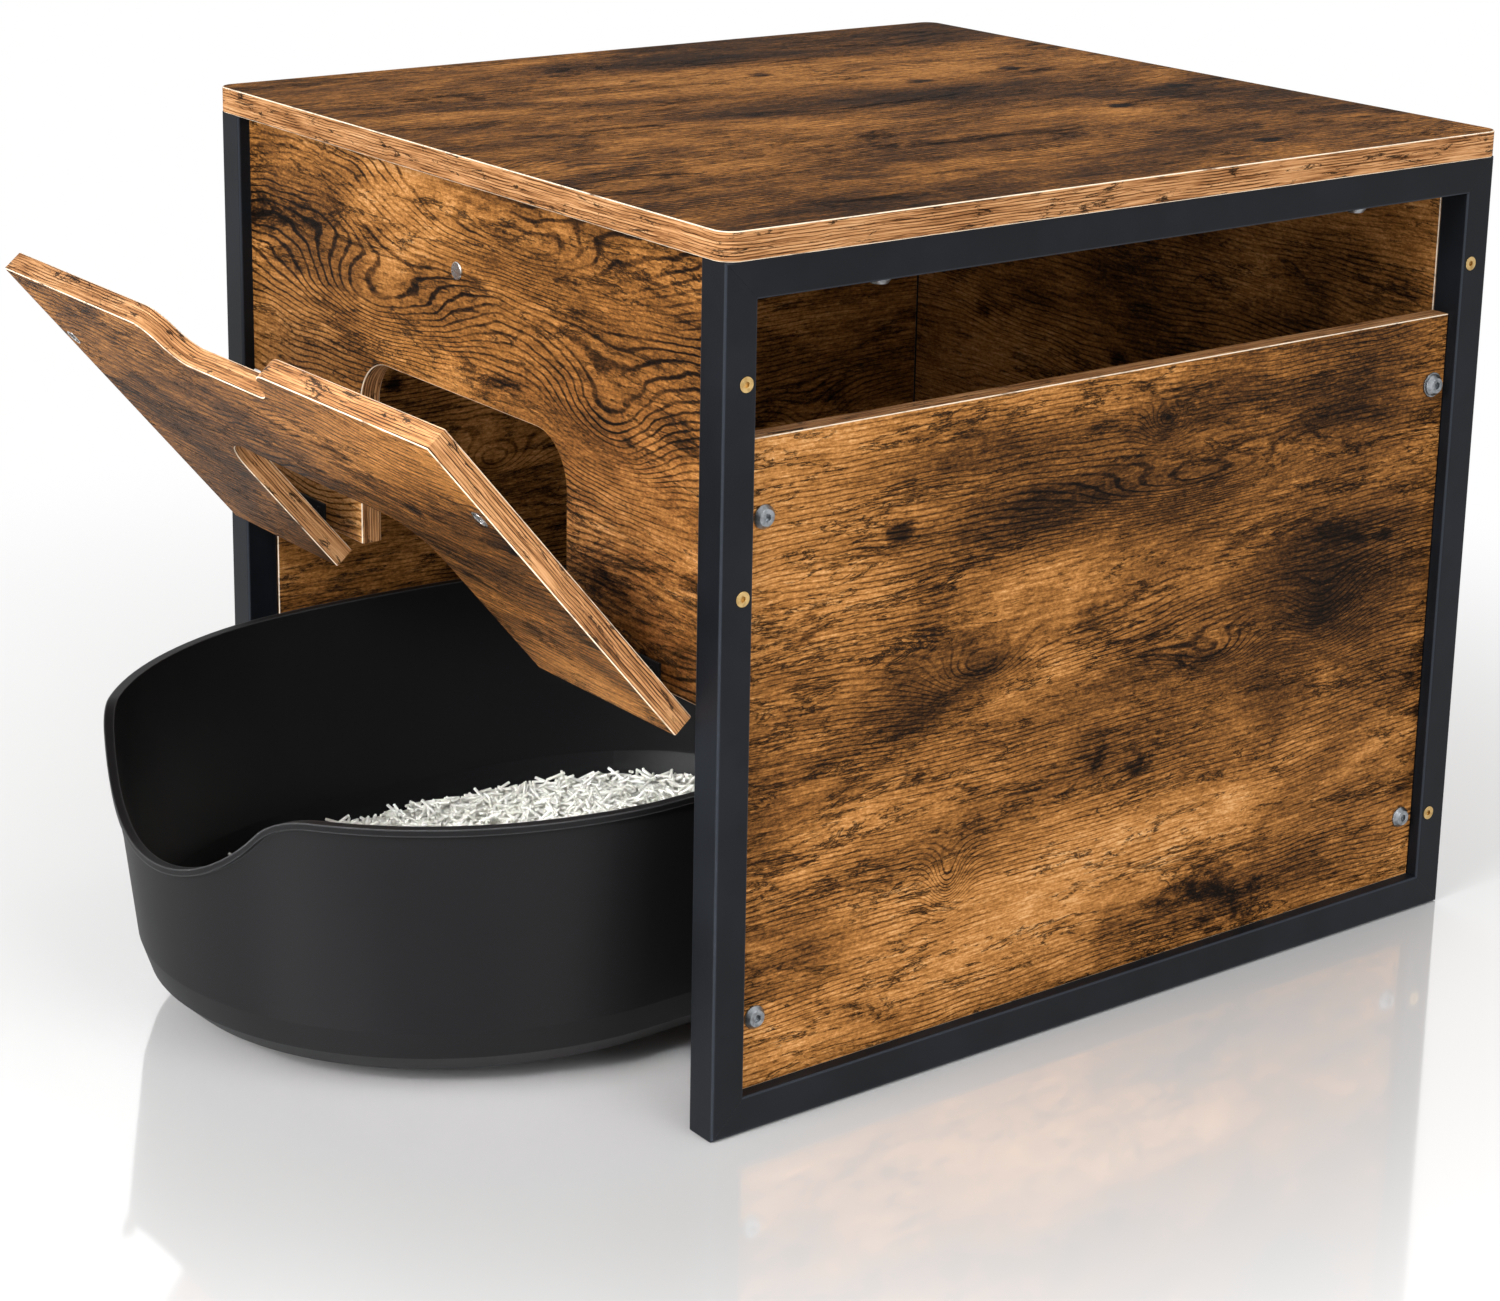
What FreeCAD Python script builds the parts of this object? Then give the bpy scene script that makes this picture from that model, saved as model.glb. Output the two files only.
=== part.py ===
import FreeCAD, Part
import math
import os

# Cat litter box cabinet: two welded side frames of square tube carry the boards, a flap door
# hangs under the fixed front board, and an open litter pan slides in below it.
# Millimetres. +Z is up, the door faces -Y, and the frames stand on Z = 0.
# It is modelled as it is seen in use: the pan drawn out to the front and the door flipped up.

V = FreeCAD.Vector

# ---- side frames ----------------------------------------------------------------------------
FRAME_DEPTH = 544.0          # front face to rear face of a side frame
FRAME_WIDTH = 502.0          # outer face to outer face across the two side frames
FRAME_HEIGHT = 457.0
TUBE = 20.0                  # square tube, outside
TUBE_WALL = 1.2
TUBE_CORNER = 1.6            # outside corner radius of the tube

# ---- boards -----------------------------------------------------------------------------------
BOARD = 12.7                 # front, rear, side and door boards
TOP_BOARD = 15.0
TOP_OVERHANG = 2.0
TOP_CORNER = 10.0            # radius of the top board's upright corners
ARRIS = 0.5                  # eased edge of every board
SIDE_BOARD_GAP = 0.7         # beside the posts
SIDE_BOARD_TOP = 366.0       # the vent is the window above this edge
REAR_FLOOR_GAP = 3.0
FRONT_BOARD_BOTTOM = 225.6
OPENING_WIDTH = 211.0        # cat opening, shared by the fixed board and the door
OPENING_TOP = 337.0
OPENING_RADIUS = 29.0        # corners of both halves of the opening

# ---- flap door --------------------------------------------------------------------------------
DOOR_LENGTH = 220.0          # hinge edge to free edge
DOOR_GAP = 2.0               # between the fixed board and the hanging door
DOOR_SIDE_GAP = 3.0          # beside the posts
DOOR_CUT_DEPTH = 115.0       # lower half of the cat opening
NOTCH_DEPTH = 25.0           # hand notch in the free edge
NOTCH_FLOOR = 76.0
NOTCH_MOUTH = 144.0
DOOR_ANGLE = 140.0           # open angle of the modelled pose, from hanging

# ---- hinges -----------------------------------------------------------------------------------
HINGE_LENGTH = 45.0
HINGE_CENTRE = 169.5         # from the middle of the cabinet
HINGE_LEAF = 1.2             # sheet thickness
HINGE_REACH = 14.6           # pin centre to the leaf's far edge
KNUCKLE_RADIUS = 3.2
KNUCKLE_STAND_OFF = 0.3      # knuckle clear of the board's face
KNUCKLES = 5
KNUCKLE_GAP = 0.3
PIN_RADIUS = 1.5
PIN_PLAY = 0.06
PIN_HEAD = 1.0               # length of each upset pin end
PIN_HEAD_RADIUS = 2.2
HINGE_SCREW_ROW = 9.3        # pin centre to the screws
HINGE_SCREW_SPACING = 32.0
WOOD_SCREW_RADIUS = 1.6
WOOD_SCREW_HEAD = 2.8
WOOD_SCREW_CROWN = 1.7       # height of a pan head above its bracket
WOOD_SCREW_FLAT = 1.8        # radius of the flat on its crown
WOOD_SCREW_LENGTH = 10.0
HINGE_SCREW_SOCKET = 1.8

# ---- panel bolts, brackets and post screws ----------------------------------------------------
BOLT_INSET = 31.0            # bolt centre from the frame's front or rear face
BOLT_ABOVE_RAIL = 39.0       # lower bolts, above the bottom rail
BOLT_BELOW_EDGE = 40.5       # upper bolts, below the side board's top edge
BOLT_RADIUS = 3.0
BOLT_HEAD_RADIUS = 6.3
BOLT_HEAD_HEIGHT = 3.3
BOLT_HEAD_RIM = 0.9
BOLT_HEAD_FLAT = 4.4         # radius of the flat on the head's crown
BOLT_SOCKET = 4.0            # across flats
BOLT_SOCKET_DEPTH = 2.0
BOLT_TAIL = 1.6              # thread beyond the nut
NUT_ACROSS_FLATS = 10.0
NUT_HEIGHT = 4.0
WASHER_RADIUS = 7.2
WASHER_PLAY = 0.2            # between its bore and the bolt
WASHER_THICKNESS = 1.2
BRACKET_SHEET = 2.0
BRACKET_LEG = 26.0
BRACKET_HEIGHT = 26.0
BRACKET_BEND = 2.5           # outside bend radius
BRACKET_SCREW_INSET = 18.5   # wood screw from the bracket's heel
POST_SCREW_RADIUS = 2.4
POST_SCREW_HEAD = 4.0
POST_SCREW_CONE = 1.6
POST_SCREW_PROUD = 0.3
POST_SCREW_LENGTH = 35.0
POST_SCREW_SOCKET = 3.0
FRONT_SCREW_LEVEL = 288.0    # lower screw in a front post
REAR_SCREW_LEVEL = 60.0      # lower screw in a rear post
POST_SCREW_DROP = 61.0       # upper screws, below the top of the frame
TOP_BOLT_REACH = 170.0       # from the middle of the top rail
TOP_BOLT_BITE = 10.0         # thread inside the top board

# ---- magnets ----------------------------------------------------------------------------------
MAGNET_RADIUS = 5.0
MAGNET_RIM = 1.0             # steel cup wall
DISC_EASE = 0.4              # eased edge of the hold-open discs
MAGNET_PROUD = 0.3           # closing magnets, on the door's inner face
MAGNET_SINK = 5.0            # depth of a cup in its board
MAGNET_DROP = 1.5            # magnet below its cup's rim
MAGNET_LEVEL = 166.0         # closing magnets, below the pin centre
MAGNET_EDGE = 11.5           # closing magnets, from the door's side edge
STRIKE_GAP = 0.3
HOLD_LEVEL = 406.0           # hold-open magnet, above the floor
HOLD_PROUD = 1.2             # hold-open magnet on the fixed board
HOLD_GAP = 0.6               # left between it and the door's catch

# ---- litter pan -------------------------------------------------------------------------------
PAN_DRAWN_OUT = 191.0        # widest rim line in front of the side frames
PAN_HEIGHT = 162.0
PAN_WALL = 2.5
PAN_RIM = 2.5                # rolled rim, outward
PAN_RIM_DEPTH = 4.0
PAN_HALF_WIDTH = 188.0       # outside of the wall at the rim
PAN_FRONT = 206.0            # widest section to the front, at the rim
PAN_REAR = 272.0             # widest section to the rear, at the rim
PAN_FOOT_INSET = 87.0        # foot outline inside the rim outline, all round
PAN_FRONT_POWER = 2.0        # superellipse powers of the plan, front and rear halves
PAN_REAR_POWER = 3.2
PAN_FOOT_ROUND = 43.0        # height of the rounding between foot and wall
PAN_ROUND_SHARE = 0.84       # share of the inset that the rounding takes
SCOOP_DEPTH = 49.5           # lowest point of the front scoop, below the rim
SCOOP_RADIUS = 115.0         # arc through the lowest point
SCOOP_MOUTH = 224.0          # width where the scoop meets the level rim
SCOOP_REACH = 110.0          # the scoop's cut, back from the front rim
LITTER_EDGE = 28.0           # litter height at the walls
LITTER_CROWN = 34.0
LITTER_CLEARANCE = 0.3
LITTER_SIDE_STEPS = (0.0, 0.08, 0.3, 1.0)     # shares of the edge height that shape its side
LITTER_CROWN_STEPS = (0.7, 0.25)              # shares of its width that shape its crown

# ---- places worked out from the sizes ---------------------------------------------------------
HALF_WIDTH = FRAME_WIDTH / 2
HALF_DEPTH = FRAME_DEPTH / 2
BAY_X = HALF_WIDTH - TUBE                   # inner face of the side frames
FRONT_INNER_Y = -HALF_DEPTH + TUBE          # inner face of the front board
FRONT_FACE_Y = FRONT_INNER_Y - BOARD        # outer face of the front board
REAR_INNER_Y = HALF_DEPTH - TUBE
PIVOT_OFFSET = KNUCKLE_RADIUS + KNUCKLE_STAND_OFF
HINGE_PIN = V(0, FRONT_FACE_Y - PIVOT_OFFSET, FRONT_BOARD_BOTTOM - DOOR_GAP / 2)
DOOR_TOP = FRONT_BOARD_BOTTOM - DOOR_GAP
DOOR_BOTTOM = DOOR_TOP - DOOR_LENGTH
DOOR_HALF_WIDTH = BAY_X - DOOR_SIDE_GAP
CATCH_PROUD = 2 * PIVOT_OFFSET - HOLD_PROUD - HOLD_GAP
BOLT_Y = HALF_DEPTH - BOLT_INSET
LOWER_BOLTS = TUBE + BOLT_ABOVE_RAIL
UPPER_BOLTS = SIDE_BOARD_TOP - BOLT_BELOW_EDGE
STRIKE_Y = FRONT_INNER_Y + MAGNET_PROUD + STRIKE_GAP
UPPER_SCREWS = FRAME_HEIGHT - POST_SCREW_DROP
SCOOP_LEVEL = PAN_HEIGHT - SCOOP_DEPTH
PAN_MIDDLE_Y = -HALF_DEPTH - PAN_DRAWN_OUT + PAN_FRONT + PAN_RIM


# ---- drawing helpers --------------------------------------------------------------------------
def box(x0, y0, z0, x1, y1, z1):
    return Part.makeBox(x1 - x0, y1 - y0, z1 - z0, V(x0, y0, z0))


def rod(radius, start, end):
    axis = end.sub(start)
    return Part.makeCylinder(radius, axis.Length, start, axis)


def hex_prism(across_flats, height):
    corner = across_flats / math.sqrt(3)
    points = [V(corner * math.cos(math.radians(60 * i)), corner * math.sin(math.radians(60 * i)), 0)
              for i in range(7)]
    return Part.Face(Part.makePolygon(points)).extrude(V(0, 0, height))


def turned(edges):
    """A solid of revolution about Z from a closed profile in the XZ plane."""
    return Part.Face(Part.Wire(edges)).revolve(V(0, 0, 0), V(0, 0, 1), 360)


def lines(points):
    return [Part.LineSegment(a, b).toShape() for a, b in zip(points, points[1:])]


def aimed(shape, place, direction):
    """The shape with its own +Z turned to the direction and its origin at the place."""
    turned_shape = shape.copy()
    turned_shape.Placement = FreeCAD.Placement(place, FreeCAD.Rotation(V(0, 0, 1), direction))
    return turned_shape


def mirrored(shape):
    return shape.mirror(V(0, 0, 0), V(1, 0, 0))


def cut_by(shape, tools):
    return shape.cut(Part.makeCompound(tools)) if tools else shape


def eased(shape, axis):
    """Chamfer the edges that lie in the two broad faces of a board, which are square to the axis."""
    low = getattr(shape.BoundBox, axis.upper() + "Min")
    high = getattr(shape.BoundBox, axis.upper() + "Max")

    def in_a_face(edge):
        levels = [getattr(vertex.Point, axis) for vertex in edge.Vertexes]
        return any(all(abs(level - face) < 1e-6 for level in levels) for face in (low, high))

    return shape.makeChamfer(ARRIS, [edge for edge in shape.Edges if in_a_face(edge)])


def s_curve(start, end, upright):
    """Two equal tangent arcs from start to end, level at both ends, in a plane that holds `upright`."""
    across = end.sub(start)
    rise = across.dot(upright)
    run_vector = across.sub(upright * rise)
    run = run_vector.Length
    along = run_vector * (1 / run)
    turn = 2 * math.atan2(abs(rise), run)
    radius = run / (2 * math.sin(turn))
    side = upright * math.copysign(1, rise)
    half_step = along * (radius * math.sin(turn / 2)) + side * (radius * (1 - math.cos(turn / 2)))
    middle = start + across * 0.5
    first = Part.Arc(start, start + half_step, middle).toShape()
    second = Part.Arc(middle, end - half_step, end).toShape()
    return [first, second]


def footprint_shift():
    """Y shift that centres the part between the scoop's front rim and the top board's rear edge."""
    front = PAN_MIDDLE_Y - (PAN_FRONT - foot_inset(SCOOP_LEVEL) + PAN_RIM)
    rear = HALF_DEPTH + TOP_OVERHANG
    return -(front + rear) / 2


def save(name, solids):
    shape = Part.makeCompound(solids) if isinstance(solids, list) else solids.copy()
    shape.translate(V(0, footprint_shift(), 0))
    shape.exportStep(os.path.join("parts", name + ".step"))
    print(f"{name}: {len(shape.Solids)} solids, {shape.Volume / 1000:.1f} cm3")


# ---- fasteners --------------------------------------------------------------------------------
def button_bolt(grip, lift=0.0):
    """Button-head bolt along -Z, its head's underside `lift` above the origin."""
    rim = lift + BOLT_HEAD_RIM
    crown = lift + BOLT_HEAD_HEIGHT
    profile = [V(0, 0, -grip), V(BOLT_RADIUS, 0, -grip), V(BOLT_RADIUS, 0, lift), V(BOLT_HEAD_RADIUS, 0, lift),
               V(BOLT_HEAD_RADIUS, 0, rim), V(BOLT_HEAD_FLAT, 0, crown), V(0, 0, crown), V(0, 0, -grip)]
    return socketed(turned(lines(profile)), BOLT_SOCKET, BOLT_SOCKET_DEPTH)


def flat_head_blank(radius, head_radius, cone, proud, length):
    """Countersunk screw along -Z without its drive recess; its surface plane is Z = 0."""
    points = [V(0, 0, proud), V(head_radius, 0, proud), V(head_radius, 0, 0), V(radius, 0, -cone),
              V(radius, 0, -length), V(0, 0, -length), V(0, 0, proud)]
    if proud == 0:
        del points[1]
    return turned(lines(points))


def socketed(blank, across_flats, depth):
    """The screw or bolt with a hexagonal recess sunk in its top."""
    recess = hex_prism(across_flats, depth)
    recess.translate(V(0, 0, blank.BoundBox.ZMax - depth))
    return blank.cut(recess)


# ---- side frames ------------------------------------------------------------------------------
def square_tube(length):
    """Tube along Z, centred on the Z axis and on Z = 0."""
    half = TUBE / 2
    outer = box(-half, -half, -length / 2, half, half, length / 2)
    outer = outer.makeFillet(TUBE_CORNER, [e for e in outer.Edges if abs(e.tangentAt(0).z) > 0.9])
    hollow = half - TUBE_WALL
    return outer.cut(box(-hollow, -hollow, -length, hollow, hollow, length))


def mitre_block(outline):
    """Everything behind a four-cornered outline in the frame's plane, given as (y, z) pairs."""
    points = [V(BAY_X - TUBE, y, z) for y, z in outline + outline[:1]]
    return Part.Face(Part.makePolygon(points)).extrude(V(3 * TUBE, 0, 0))


def frame_member(y, z, is_post, outline, holes):
    length = 2 * (FRAME_HEIGHT if is_post else FRAME_DEPTH)
    tube = square_tube(length)
    if not is_post:
        tube.rotate(V(0, 0, 0), V(1, 0, 0), 90)
    tube.translate(V(HALF_WIDTH - TUBE / 2, y, z))
    return cut_by(tube.common(mitre_block(outline)), holes)


def right_frame(post_screws, top_bolts):
    """The four mitred tubes of the right side frame, by name."""
    middle_y = HALF_DEPTH - TUBE / 2
    outer = {"low": 0.0, "high": FRAME_HEIGHT}
    inner = {"low": TUBE, "high": FRAME_HEIGHT - TUBE}
    tubes = {}
    for name, sign in (("front_post", -1), ("rear_post", 1)):
        outline = [(sign * HALF_DEPTH, outer["low"]), (sign * HALF_DEPTH, outer["high"]),
                   (sign * (HALF_DEPTH - TUBE), inner["high"]), (sign * (HALF_DEPTH - TUBE), inner["low"])]
        near_screws = [s for s in post_screws if s.BoundBox.Center.y * sign > 0]
        tubes[name] = frame_member(sign * middle_y, FRAME_HEIGHT / 2, True, outline, near_screws)
    for name, end in (("bottom_rail", "low"), ("top_rail", "high")):
        outline = [(-HALF_DEPTH, outer[end]), (HALF_DEPTH, outer[end]),
                   (HALF_DEPTH - TUBE, inner[end]), (TUBE - HALF_DEPTH, inner[end])]
        level = (outer[end] + inner[end]) / 2
        tubes[name] = frame_member(0, level, False, outline, top_bolts if end == "high" else [])
    return tubes


# ---- boards -----------------------------------------------------------------------------------
def top_board(top_bolts):
    reach_x = HALF_WIDTH + TOP_OVERHANG
    reach_y = HALF_DEPTH + TOP_OVERHANG
    board = box(-reach_x, -reach_y, FRAME_HEIGHT, reach_x, reach_y, FRAME_HEIGHT + TOP_BOARD)
    board = board.makeFillet(TOP_CORNER, [e for e in board.Edges if abs(e.tangentAt(0).z) > 0.9])
    return cut_by(eased(board, "z"), top_bolts)


def right_side_board(bolts):
    reach_y = HALF_DEPTH - TUBE - SIDE_BOARD_GAP
    board = box(BAY_X, -reach_y, TUBE, BAY_X + BOARD, reach_y, SIDE_BOARD_TOP)
    return cut_by(eased(board, "x"), bolts)


def rounded_cut(top, bottom, radius, round_top):
    """The cat opening's prism through the front board's plane, with its two far corners rounded."""
    y0 = FRONT_FACE_Y - BOARD
    prism = box(-OPENING_WIDTH / 2, y0, bottom, OPENING_WIDTH / 2, FRONT_INNER_Y + BOARD, top)
    level = top if round_top else bottom
    corners = [e for e in prism.Edges
               if abs(e.tangentAt(0).y) > 0.9 and abs(e.BoundBox.Center.z - level) < 1e-6]
    return prism.makeFillet(radius, corners)


def front_board(holes):
    board = box(-BAY_X, FRONT_FACE_Y, FRONT_BOARD_BOTTOM, BAY_X, FRONT_INNER_Y, FRAME_HEIGHT)
    opening = rounded_cut(OPENING_TOP, FRONT_BOARD_BOTTOM - BOARD, OPENING_RADIUS, True)
    return cut_by(eased(board.cut(opening), "y"), holes)


def rear_board(holes):
    board = box(-BAY_X, REAR_INNER_Y, REAR_FLOOR_GAP, BAY_X, REAR_INNER_Y + BOARD, FRAME_HEIGHT)
    return cut_by(eased(board, "y"), holes)


def notch_prism():
    """Hand notch in the free edge: a flat floor between two S-shaped flanks."""
    y0 = FRONT_FACE_Y - BOARD
    floor_level = DOOR_BOTTOM + NOTCH_DEPTH
    mouth = [V(-NOTCH_MOUTH / 2, y0, DOOR_BOTTOM), V(NOTCH_MOUTH / 2, y0, DOOR_BOTTOM)]
    floor = [V(-NOTCH_FLOOR / 2, y0, floor_level), V(NOTCH_FLOOR / 2, y0, floor_level)]
    edges = s_curve(mouth[0], floor[0], V(0, 0, 1)) + lines(floor) + s_curve(floor[1], mouth[1], V(0, 0, 1))
    below = V(0, 0, -BOARD)
    edges += lines([mouth[1], mouth[1] + below, mouth[0] + below, mouth[0]])
    return Part.Face(Part.Wire(edges)).extrude(V(0, 3 * BOARD, 0))


def door_board(holes):
    """The flap as it hangs closed."""
    board = box(-DOOR_HALF_WIDTH, FRONT_FACE_Y, DOOR_BOTTOM, DOOR_HALF_WIDTH, FRONT_INNER_Y, DOOR_TOP)
    opening = rounded_cut(DOOR_TOP + BOARD, DOOR_TOP - DOOR_CUT_DEPTH, OPENING_RADIUS, False)
    return cut_by(eased(board.cut(opening).cut(notch_prism()), "y"), holes)


# ---- panel bolts, brackets, post screws -------------------------------------------------------
def panel_bolt(y, z, lift):
    grip = BOARD + BRACKET_SHEET + NUT_HEIGHT + BOLT_TAIL
    return aimed(button_bolt(grip, lift), V(BAY_X + BOARD, y, z), V(1, 0, 0))


def bolt_places():
    return [(y, z) for y in (-BOLT_Y, BOLT_Y) for z in (LOWER_BOLTS, UPPER_BOLTS)]


def has_washer(y, z):
    return y > 0 and z == UPPER_BOLTS


def panel_bolts():
    return [panel_bolt(y, z, WASHER_THICKNESS if has_washer(y, z) else 0.0) for y, z in bolt_places()]


def bolt_washer():
    y, z = next(place for place in bolt_places() if has_washer(*place))
    start = V(BAY_X + BOARD, y, z)
    end = start + V(WASHER_THICKNESS, 0, 0)
    return rod(WASHER_RADIUS, start, end).cut(rod(BOLT_RADIUS + WASHER_PLAY, start, end))


def bolt_nut(y, z):
    start = V(BAY_X - BRACKET_SHEET - NUT_HEIGHT, y, z)
    nut = aimed(hex_prism(NUT_ACROSS_FLATS, NUT_HEIGHT), start, V(1, 0, 0))
    return nut.cut(rod(BOLT_RADIUS, start, start + V(NUT_HEIGHT, 0, 0)))


def corner_bracket(heel_y, inward, z, with_screw_hole):
    """Bent steel angle behind a side board; its other leg lies across the cabinet at heel_y."""
    side_leg = box(BAY_X - BRACKET_SHEET, 0, z - BRACKET_HEIGHT / 2, BAY_X, BRACKET_LEG, z + BRACKET_HEIGHT / 2)
    cross_leg = box(BAY_X - BRACKET_LEG, 0, z - BRACKET_HEIGHT / 2, BAY_X, BRACKET_SHEET, z + BRACKET_HEIGHT / 2)
    angle = side_leg.fuse(cross_leg).removeSplitter()
    heel = [e for e in angle.Edges if abs(e.tangentAt(0).z) > 0.9
            and (e.BoundBox.Center - V(BAY_X, 0, z)).Length < 0.01]
    angle = angle.makeFillet(BRACKET_BEND, heel)
    if inward < 0:
        angle = angle.mirror(V(0, 0, 0), V(0, 1, 0))
    angle.translate(V(0, heel_y, 0))
    bolt_y = -BOLT_Y if inward > 0 else BOLT_Y
    angle = angle.cut(rod(BOLT_RADIUS, V(0, bolt_y, z), V(HALF_WIDTH, bolt_y, z)))
    if with_screw_hole:
        x = BAY_X - BRACKET_SCREW_INSET
        angle = angle.cut(rod(WOOD_SCREW_RADIUS, V(x, heel_y - BOARD, z), V(x, heel_y + BOARD, z)))
    return angle


def corner_brackets():
    """Three angles that tie the right side board to the front and rear boards."""
    front = corner_bracket(FRONT_INNER_Y, 1, UPPER_BOLTS, True)
    return [front] + [corner_bracket(REAR_INNER_Y, -1, z, True) for z in (LOWER_BOLTS, UPPER_BOLTS)]


def strike_bracket():
    """The lower front angle: the closed door stops on it, held by its magnet."""
    return corner_bracket(STRIKE_Y, 1, LOWER_BOLTS, False)


def pan_head_screw():
    """Small screw along -Z with a low crowned head on the surface at Z = 0."""
    profile = [V(0, 0, -WOOD_SCREW_LENGTH), V(WOOD_SCREW_RADIUS, 0, -WOOD_SCREW_LENGTH),
               V(WOOD_SCREW_RADIUS, 0, 0), V(WOOD_SCREW_HEAD, 0, 0),
               V(WOOD_SCREW_FLAT, 0, WOOD_SCREW_CROWN), V(0, 0, WOOD_SCREW_CROWN), V(0, 0, -WOOD_SCREW_LENGTH)]
    return turned(lines(profile))


def bracket_screws():
    x = BAY_X - BRACKET_SCREW_INSET
    front = aimed(pan_head_screw(), V(x, FRONT_INNER_Y + BRACKET_SHEET, UPPER_BOLTS), V(0, 1, 0))
    rear = [aimed(pan_head_screw(), V(x, REAR_INNER_Y - BRACKET_SHEET, z), V(0, -1, 0))
            for z in (LOWER_BOLTS, UPPER_BOLTS)]
    return [front] + rear


def post_screw_blank():
    return flat_head_blank(POST_SCREW_RADIUS, POST_SCREW_HEAD, POST_SCREW_CONE, POST_SCREW_PROUD, POST_SCREW_LENGTH)


def through_posts(screw):
    """The screw at each place where a right post is fixed to the end of the front or rear board."""
    front_y = (FRONT_FACE_Y + FRONT_INNER_Y) / 2
    places = [(front_y, FRONT_SCREW_LEVEL), (front_y, UPPER_SCREWS),
              (-front_y, REAR_SCREW_LEVEL), (-front_y, UPPER_SCREWS)]
    return [aimed(screw, V(HALF_WIDTH, y, z), V(1, 0, 0)) for y, z in places]


def top_bolts():
    """Bolts up through the top rail into the top board, heads under the rail."""
    bolt = button_bolt(TUBE + TOP_BOLT_BITE)
    x = HALF_WIDTH - TUBE / 2
    return [aimed(bolt, V(x, y, FRAME_HEIGHT - TUBE), V(0, 0, -1)) for y in (-TOP_BOLT_REACH, TOP_BOLT_REACH)]


# ---- hinges -----------------------------------------------------------------------------------
def knuckle_spans():
    """Start and end along the pin of each knuckle, from the hinge's middle."""
    pitch = HINGE_LENGTH / KNUCKLES
    starts = [-HINGE_LENGTH / 2 + i * pitch for i in range(KNUCKLES)]
    return [(start + KNUCKLE_GAP / 2, start + pitch - KNUCKLE_GAP / 2) for start in starts]


def hinge_leaf(first_knuckle, screws):
    """A leaf below the pin, on the board's outer face, with every other knuckle from the first."""
    back_y = HINGE_PIN.y + PIVOT_OFFSET
    clear = KNUCKLE_RADIUS + KNUCKLE_STAND_OFF
    leaf = box(-HINGE_LENGTH / 2, back_y - HINGE_LEAF, HINGE_PIN.z - HINGE_REACH,
               HINGE_LENGTH / 2, back_y, HINGE_PIN.z - clear)
    for start, end in knuckle_spans()[first_knuckle::2]:
        left = V(start, HINGE_PIN.y, HINGE_PIN.z)
        right = V(end, HINGE_PIN.y, HINGE_PIN.z)
        root = box(start, back_y - HINGE_LEAF, HINGE_PIN.z - clear, end, back_y, HINGE_PIN.z)
        leaf = leaf.fuse(rod(KNUCKLE_RADIUS, left, right)).fuse(root)
        leaf = leaf.cut(rod(PIN_RADIUS + PIN_PLAY, left, right))
    return cut_by(leaf.removeSplitter(), screws)


def above_pin(shape):
    """Reflect a piece in the level plane of the hinge pins."""
    return shape.mirror(HINGE_PIN, V(0, 0, 1))


def hinge_screw_blank():
    return flat_head_blank(WOOD_SCREW_RADIUS, WOOD_SCREW_HEAD, HINGE_LEAF, 0.0, WOOD_SCREW_LENGTH)


def in_leaf(screw):
    """The screw at both places in a hinge leaf below the pin."""
    y = HINGE_PIN.y + PIVOT_OFFSET - HINGE_LEAF
    z = HINGE_PIN.z - HINGE_SCREW_ROW
    return [aimed(screw, V(x, y, z), V(0, -1, 0)) for x in (-HINGE_SCREW_SPACING / 2, HINGE_SCREW_SPACING / 2)]


def hinge_pin():
    half = HINGE_LENGTH / 2
    left = V(-half, HINGE_PIN.y, HINGE_PIN.z)
    right = V(half, HINGE_PIN.y, HINGE_PIN.z)
    end = V(PIN_HEAD, 0, 0)
    pin = rod(PIN_RADIUS, left, right).fuse(rod(PIN_HEAD_RADIUS, left - end, left))
    return pin.fuse(rod(PIN_HEAD_RADIUS, right, right + end)).removeSplitter()


def at_hinges(shapes):
    """The pieces at the right and the left hinge."""
    placed = []
    for shape in shapes:
        for x in (HINGE_CENTRE, -HINGE_CENTRE):
            moved = shape.copy()
            moved.translate(V(x, 0, 0))
            placed.append(moved)
    return placed


# ---- magnets ----------------------------------------------------------------------------------
def magnet_cup(proud):
    """Steel cup along Z, sunk in the board below Z = 0."""
    cup = Part.makeCylinder(MAGNET_RADIUS, MAGNET_SINK + proud, V(0, 0, -MAGNET_SINK))
    bore = Part.makeCylinder(MAGNET_RADIUS - MAGNET_RIM, MAGNET_SINK + proud, V(0, 0, MAGNET_RIM - MAGNET_SINK))
    return cup.cut(bore)


def magnet_core(proud):
    """The magnet itself, below the cup's rim."""
    height = MAGNET_SINK + proud - MAGNET_RIM - MAGNET_DROP
    return Part.makeCylinder(MAGNET_RADIUS - MAGNET_RIM, height, V(0, 0, MAGNET_RIM - MAGNET_SINK))


def disc_magnet(proud):
    """Plain plated disc along Z, sunk in the board below Z = 0, with an eased front edge."""
    disc = Part.makeCylinder(MAGNET_RADIUS, MAGNET_SINK + proud, V(0, 0, -MAGNET_SINK))
    return disc.makeChamfer(DISC_EASE, [e for e in disc.Edges if abs(e.BoundBox.Center.z - proud) < 1e-6])


def pocket(proud):
    return Part.makeCylinder(MAGNET_RADIUS, MAGNET_SINK + proud, V(0, 0, -MAGNET_SINK))


def closing_place():
    return V(DOOR_HALF_WIDTH - MAGNET_EDGE, FRONT_INNER_Y, HINGE_PIN.z - MAGNET_LEVEL)


def hold_place():
    return V(0, FRONT_FACE_Y, HOLD_LEVEL)


def door_hold_place():
    """Where the hold-open magnet meets the door, on the hanging door's outer face."""
    return V(0, FRONT_FACE_Y, 2 * HINGE_PIN.z - HOLD_LEVEL)


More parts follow.
